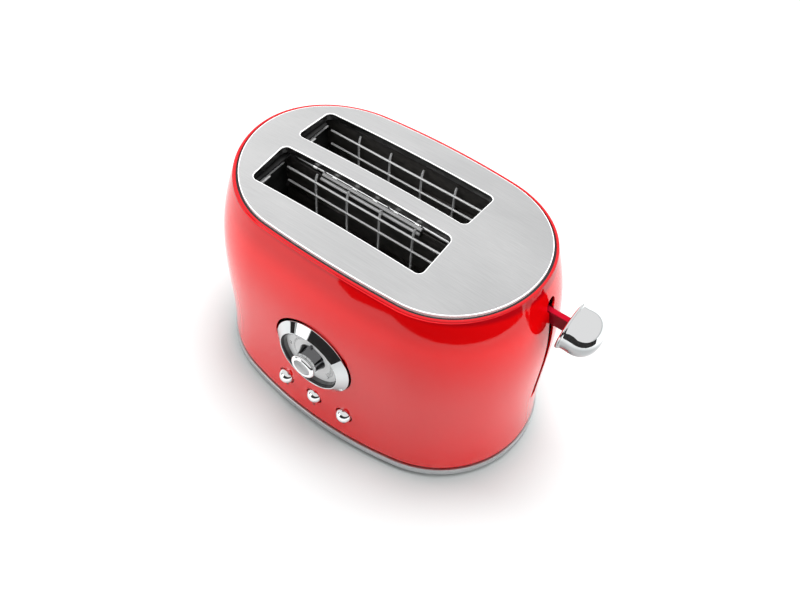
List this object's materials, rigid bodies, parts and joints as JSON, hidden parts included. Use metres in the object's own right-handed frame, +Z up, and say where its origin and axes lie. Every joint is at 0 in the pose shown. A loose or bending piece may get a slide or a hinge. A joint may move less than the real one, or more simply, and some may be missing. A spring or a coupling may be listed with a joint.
{
  "type": "toaster",
  "caption": "Oval wide-slot toaster with a domed brushed top, side lever, browning dial, push buttons and a slide-out crumb tray.",
  "frame": {"origin": "middle of the toaster's bounding box, at the undersides of the feet", "axes": "+Z up, +X along the length towards the lever, -Y towards the dial and the buttons"},
  "size_m": [0.3006, 0.1788, 0.1856],
  "materials": {
    "red_enamel": "gloss",
    "brushed_steel": "brushed",
    "silver_ring": "satin",
    "chrome": "gloss",
    "steel_sheet": "satin",
    "steel_wire": "satin",
    "black_rubber": "matt",
    "black_plastic": "matt",
    "mica": "matt",
    "heater_alloy": "satin",
    "board_green": "matt",
    "copper": "satin"
  },
  "bodies": {
    "housing": {"base_ring": "silver_ring", "base_screw_1": "steel_wire", "base_screw_2": "steel_wire", "base_screw_3": "steel_wire", "base_screw_4": "steel_wire", "bottom_cover": "steel_sheet", "button_carrier": "black_plastic", "cancel_switch": "black_plastic", "carriage_frame": "steel_sheet", "control_board": "board_green", "cord_gland": "black_rubber", "defrost_switch": "black_plastic", "dial_bezel": "chrome", "dial_face": "brushed_steel", "end_plate_far": "steel_sheet", "end_plate_lever": "steel_sheet", "foot_far_back": "black_rubber", "foot_far_front": "black_rubber", "foot_lever_back": "black_rubber", "foot_lever_front": "black_rubber", "guide_rod": "steel_wire", "heater_card_back": "mica", "heater_card_front": "mica", "heater_card_middle": "mica", "heater_ribbon_back": "heater_alloy", "heater_ribbon_front": "heater_alloy", "heater_ribbon_middle": "heater_alloy", "heater_top_channel": "steel_sheet", "magnet_coil": "copper", "magnet_core": "steel_sheet", "potentiometer": "black_plastic", "power_board": "board_green", "reflector_back": "steel_sheet", "reflector_front": "steel_sheet", "reheat_switch": "black_plastic", "shell": "red_enamel", "switch_block": "black_plastic", "top_plate": "brushed_steel", "tray_rail_back": "steel_sheet", "tray_rail_front": "steel_sheet"},
    "carriage": {"carriage": "steel_sheet", "bread_rack_front": "steel_wire", "bread_rack_back": "steel_wire", "latch_plate": "steel_wire", "lever_arm": "red_enamel", "lever_knob": "chrome", "carriage_spring": "steel_wire"},
    "dial": {"dial_knob": "chrome", "dial_shaft": "steel_wire"},
    "cancel": {"cancel_button": "chrome"},
    "reheat": {"reheat_button": "chrome"},
    "defrost": {"defrost_button": "chrome"},
    "guide_front_inner": {"wire_guide_front_inner": "steel_wire"},
    "guide_front_outer": {"wire_guide_front_outer": "steel_wire"},
    "guide_back_inner": {"wire_guide_back_inner": "steel_wire"},
    "guide_back_outer": {"wire_guide_back_outer": "steel_wire"},
    "tray": {"crumb_tray": "steel_sheet"}
  },
  "joints": [
    {"name": "lever_slide", "type": "slide", "parent": "housing", "child": "carriage", "axis": [0, 0, -1], "range_m": [0, 0.08], "stiffness_N_per_m": 60, "springref_m": -0.06, "deforming": ["carriage_spring"]},
    {"name": "dial_turn", "type": "hinge", "parent": "housing", "child": "dial", "pos_m": [-0.0132, -0.07765, 0.09], "axis": [0, -1, 0], "range_deg": [-135, 135]},
    {"name": "cancel_press", "type": "slide", "parent": "housing", "child": "cancel", "axis": [0, 1, 0], "range_m": [0, 0.0015], "stiffness_N_per_m": 400, "springref_m": -0.001},
    {"name": "reheat_press", "type": "slide", "parent": "housing", "child": "reheat", "axis": [0, 1, 0], "range_m": [0, 0.0015], "stiffness_N_per_m": 400, "springref_m": -0.001},
    {"name": "defrost_press", "type": "slide", "parent": "housing", "child": "defrost", "axis": [0, 1, 0], "range_m": [0, 0.0015], "stiffness_N_per_m": 400, "springref_m": -0.001},
    {"name": "guide_front_inner_turn", "type": "hinge", "parent": "housing", "child": "guide_front_inner", "pos_m": [-0.0297, -0.00238, 0.03], "axis": [1, 0, 0], "range_deg": [0, 3.6]},
    {"name": "guide_front_outer_turn", "type": "hinge", "parent": "housing", "child": "guide_front_outer", "pos_m": [-0.0297, -0.03978, 0.03], "axis": [-1, 0, 0], "range_deg": [0, 3.6]},
    {"name": "guide_back_inner_turn", "type": "hinge", "parent": "housing", "child": "guide_back_inner", "pos_m": [-0.0297, 0.00952, 0.03], "axis": [-1, 0, 0], "range_deg": [0, 3.6]},
    {"name": "guide_back_outer_turn", "type": "hinge", "parent": "housing", "child": "guide_back_outer", "pos_m": [-0.0297, 0.04692, 0.03], "axis": [1, 0, 0], "range_deg": [0, 3.6]},
    {"name": "tray_slide", "type": "slide", "parent": "housing", "child": "tray", "axis": [-1, 0, 0], "range_m": [0, 0.12]}
  ],
  "couplings": [
    {"joint": "guide_front_inner_turn", "follows": "lever_slide", "rad_per_m": 0.76358},
    {"joint": "guide_front_outer_turn", "follows": "lever_slide", "rad_per_m": 0.76358},
    {"joint": "guide_back_inner_turn", "follows": "lever_slide", "rad_per_m": 0.76358},
    {"joint": "guide_back_outer_turn", "follows": "lever_slide", "rad_per_m": 0.76358}
  ]
}
